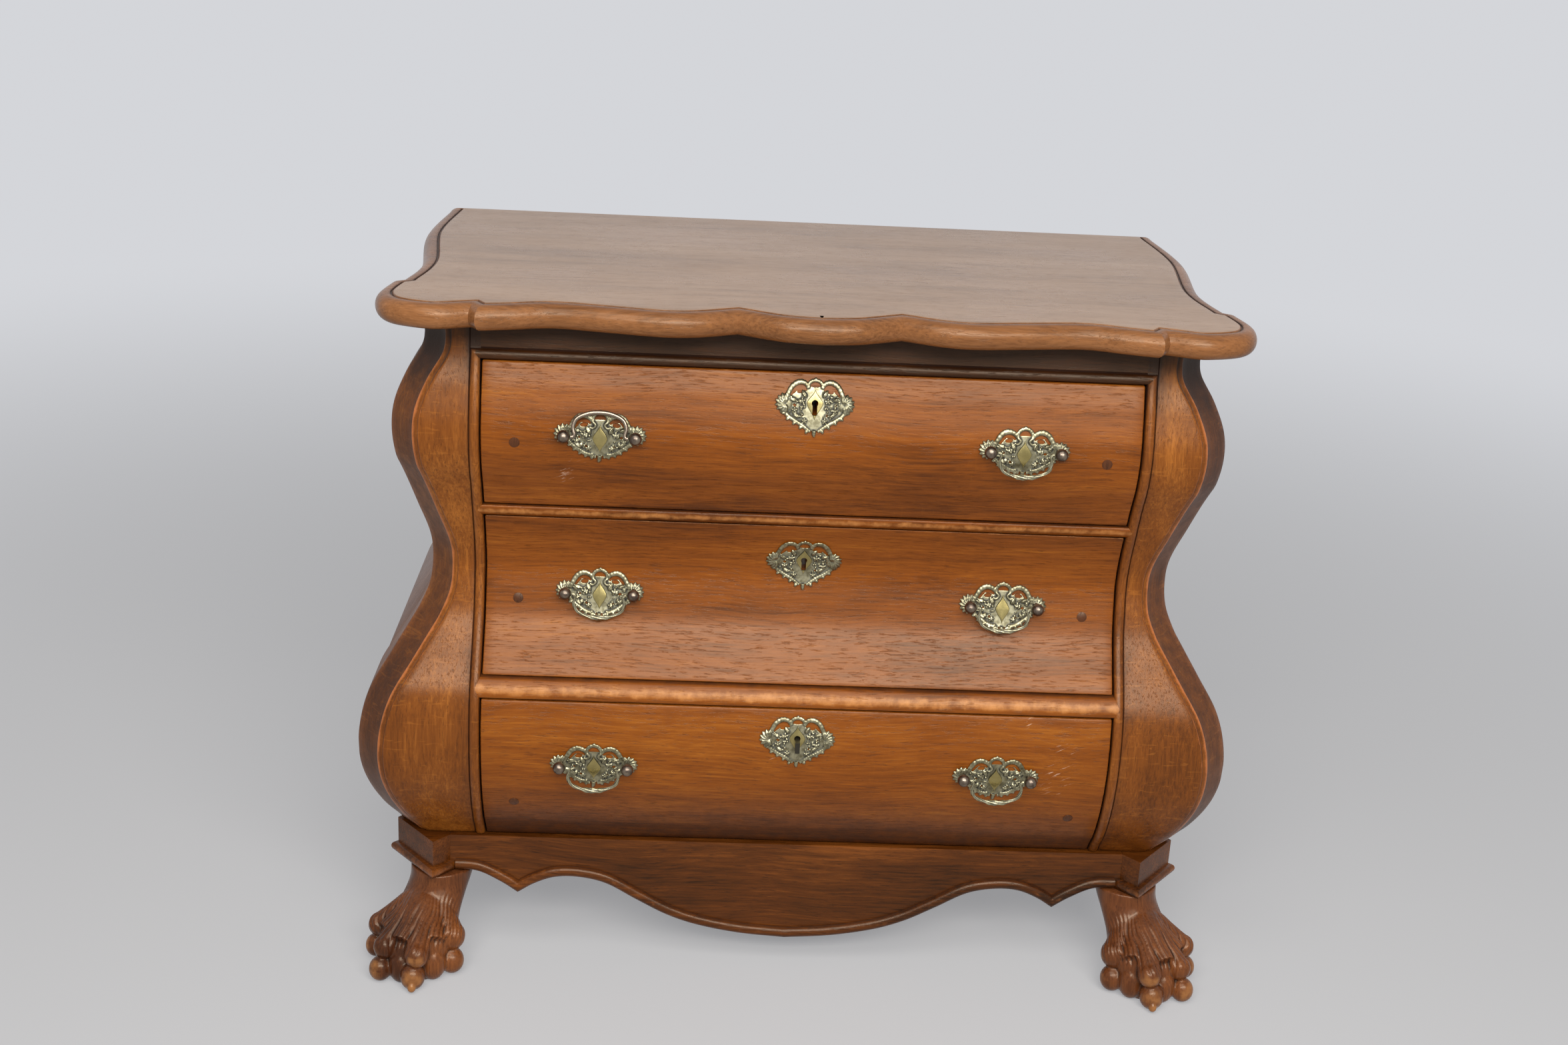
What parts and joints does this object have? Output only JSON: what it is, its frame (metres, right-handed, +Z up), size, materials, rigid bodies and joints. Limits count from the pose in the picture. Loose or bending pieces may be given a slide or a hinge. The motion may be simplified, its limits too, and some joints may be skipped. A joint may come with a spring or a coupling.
{
  "type": "bombe chest of drawers",
  "caption": "Bombe chest with a serpentine top, three curved drawers with pierced brass handles, and carved paw feet.",
  "frame": {"origin": "on the floor, below the middle of the chest's plan", "axes": "+X to the right seen from the front, +Y to the back, +Z up"},
  "size_m": [1.0068, 0.541, 0.823],
  "materials": {
    "oak": "waxed red-brown oak, satin gloss, lighter worn arrises",
    "top_oak": "waxed oak, faded greyer brown, satin gloss",
    "dark_oak": "carved dark oak, ochre where worn",
    "inner_oak": "bare planed oak, matt",
    "old_brass": "cast brass, yellow-green patina, dark hollows",
    "bronze": "dark bronze, worn smooth",
    "lock_iron": "dull filed iron"
  },
  "bodies": {
    "case": {"top_board": "top_oak", "front_post_left": "oak", "front_post_right": "oak", "side_panel_left": "oak", "side_panel_right": "oak", "back_panel": "inner_oak", "frieze_rail": "oak", "drawer_rail_upper": "oak", "drawer_rail_lower": "oak", "dust_board_upper": "inner_oak", "dust_board_lower": "inner_oak", "bottom_board": "inner_oak", "apron": "oak", "apron_moulding": "oak", "corner_block_left": "oak", "corner_block_right": "oak", "plinth_side_left": "oak", "plinth_side_right": "oak", "front_foot_left": "dark_oak", "front_foot_right": "dark_oak", "rear_foot_left": "dark_oak", "rear_foot_right": "dark_oak"},
    "drawer_top": {"drawer_top_front": "oak", "drawer_top_side_left": "inner_oak", "drawer_top_side_right": "inner_oak", "drawer_top_back": "inner_oak", "drawer_top_bottom": "inner_oak", "escutcheon_top": "old_brass", "lock_case_top": "lock_iron", "handle_plate_top_left": "old_brass", "handle_plate_top_right": "old_brass"},
    "drawer_middle": {"drawer_middle_front": "oak", "drawer_middle_side_left": "inner_oak", "drawer_middle_side_right": "inner_oak", "drawer_middle_back": "inner_oak", "drawer_middle_bottom": "inner_oak", "escutcheon_middle": "old_brass", "lock_case_middle": "lock_iron", "handle_plate_middle_left": "old_brass", "handle_plate_middle_right": "old_brass"},
    "drawer_bottom": {"drawer_bottom_front": "oak", "drawer_bottom_side_left": "inner_oak", "drawer_bottom_side_right": "inner_oak", "drawer_bottom_back": "inner_oak", "drawer_bottom_bottom": "inner_oak", "escutcheon_bottom": "old_brass", "lock_case_bottom": "lock_iron", "handle_plate_bottom_left": "old_brass", "handle_plate_bottom_right": "old_brass"},
    "bolt_top": {"lock_bolt_top": "lock_iron"},
    "bolt_middle": {"lock_bolt_middle": "lock_iron"},
    "bolt_bottom": {"lock_bolt_bottom": "lock_iron"},
    "bail_top_left": {"bail_top_left": "bronze"},
    "bail_top_right": {"bail_top_right": "old_brass"},
    "bail_middle_left": {"bail_middle_left": "old_brass"},
    "bail_middle_right": {"bail_middle_right": "old_brass"},
    "bail_bottom_left": {"bail_bottom_left": "old_brass"},
    "bail_bottom_right": {"bail_bottom_right": "old_brass"}
  },
  "joints": [
    {"name": "drawer_top_slide", "type": "slide", "parent": "case", "child": "drawer_top", "axis": [0, -1, 0], "range_m": [0, 0.34]},
    {"name": "drawer_middle_slide", "type": "slide", "parent": "case", "child": "drawer_middle", "axis": [0, -1, 0], "range_m": [0, 0.34]},
    {"name": "drawer_bottom_slide", "type": "slide", "parent": "case", "child": "drawer_bottom", "axis": [0, -1, 0], "range_m": [0, 0.34]},
    {"name": "bolt_top_lift", "type": "slide", "parent": "drawer_top", "child": "bolt_top", "axis": [0, 0, 1], "range_m": [0, 0.006]},
    {"name": "bolt_middle_lift", "type": "slide", "parent": "drawer_middle", "child": "bolt_middle", "axis": [0, 0, 1], "range_m": [0, 0.006]},
    {"name": "bolt_bottom_lift", "type": "slide", "parent": "drawer_bottom", "child": "bolt_bottom", "axis": [0, 0, 1], "range_m": [0, 0.006]},
    {"name": "bail_top_left_swing", "type": "hinge", "parent": "drawer_top", "child": "bail_top_left", "pos_m": [-0.2306, -0.23049, 0.6765], "axis": [-1, 0, 0], "range_deg": [-206, 0]},
    {"name": "bail_top_right_swing", "type": "hinge", "parent": "drawer_top", "child": "bail_top_right", "pos_m": [0.2306, -0.23049, 0.6765], "axis": [-1, 0, 0], "range_deg": [-10, 196]},
    {"name": "bail_middle_left_swing", "type": "hinge", "parent": "drawer_middle", "child": "bail_middle_left", "pos_m": [-0.2306, -0.17787, 0.4746], "axis": [-1, 0, 0], "range_deg": [0, 188]},
    {"name": "bail_middle_right_swing", "type": "hinge", "parent": "drawer_middle", "child": "bail_middle_right", "pos_m": [0.2306, -0.17787, 0.4746], "axis": [-1, 0, 0], "range_deg": [0, 188]},
    {"name": "bail_bottom_left_swing", "type": "hinge", "parent": "drawer_bottom", "child": "bail_bottom_left", "pos_m": [-0.2306, -0.23871, 0.286], "axis": [-1, 0, 0], "range_deg": [-10, 188]},
    {"name": "bail_bottom_right_swing", "type": "hinge", "parent": "drawer_bottom", "child": "bail_bottom_right", "pos_m": [0.2306, -0.23871, 0.286], "axis": [-1, 0, 0], "range_deg": [-10, 188]}
  ]
}
